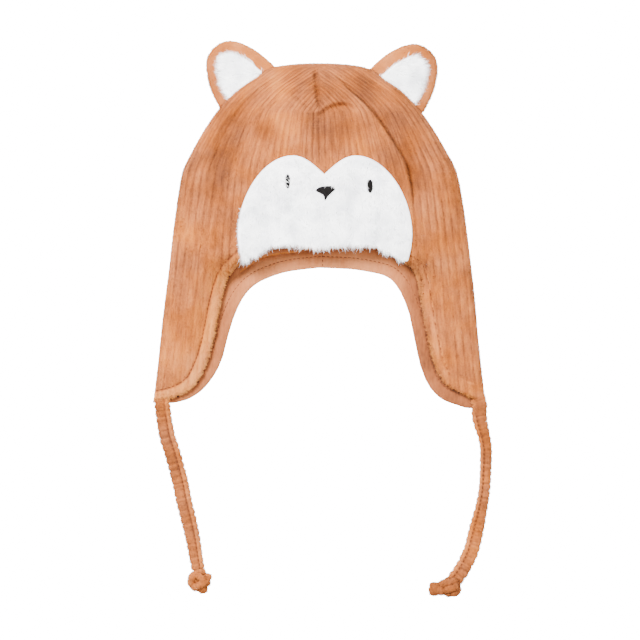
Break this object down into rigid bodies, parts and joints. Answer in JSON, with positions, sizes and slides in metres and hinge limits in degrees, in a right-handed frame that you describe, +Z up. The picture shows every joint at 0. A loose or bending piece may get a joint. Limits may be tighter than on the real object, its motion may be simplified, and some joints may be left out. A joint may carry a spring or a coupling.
{
  "type": "baby bear hat with ear flaps and ties",
  "caption": "Baby's lined winter hat laid flat on its back: ribbed velour, ears, plush animal face, folded ear flaps and knotted ties.",
  "frame": {"origin": "on the surface that the hat lies on, under the middle of the hat without its ties", "axes": "+X across the hat, +Y from the flap tips to the crown and ears, +Z up, away from the surface and out of the face"},
  "size_m": [0.2544, 0.4165, 0.0402],
  "materials": {
    "velour": "wide-ribbed cotton velour",
    "jersey": "smooth cotton jersey",
    "plush": "short white plush",
    "thread": "satin stitch embroidery"
  },
  "bodies": {
    "root": {"outer_shell": "velour", "lining": "jersey", "face_patch": "plush", "nose": "thread", "eye_left": "thread", "eye_right": "thread", "ear_left": "velour", "ear_fur_left": "plush", "ear_right": "velour", "ear_fur_right": "plush", "tie_left": "velour", "knot_left": "velour", "tie_right": "velour", "knot_right": "velour"}
  },
  "joints": []
}
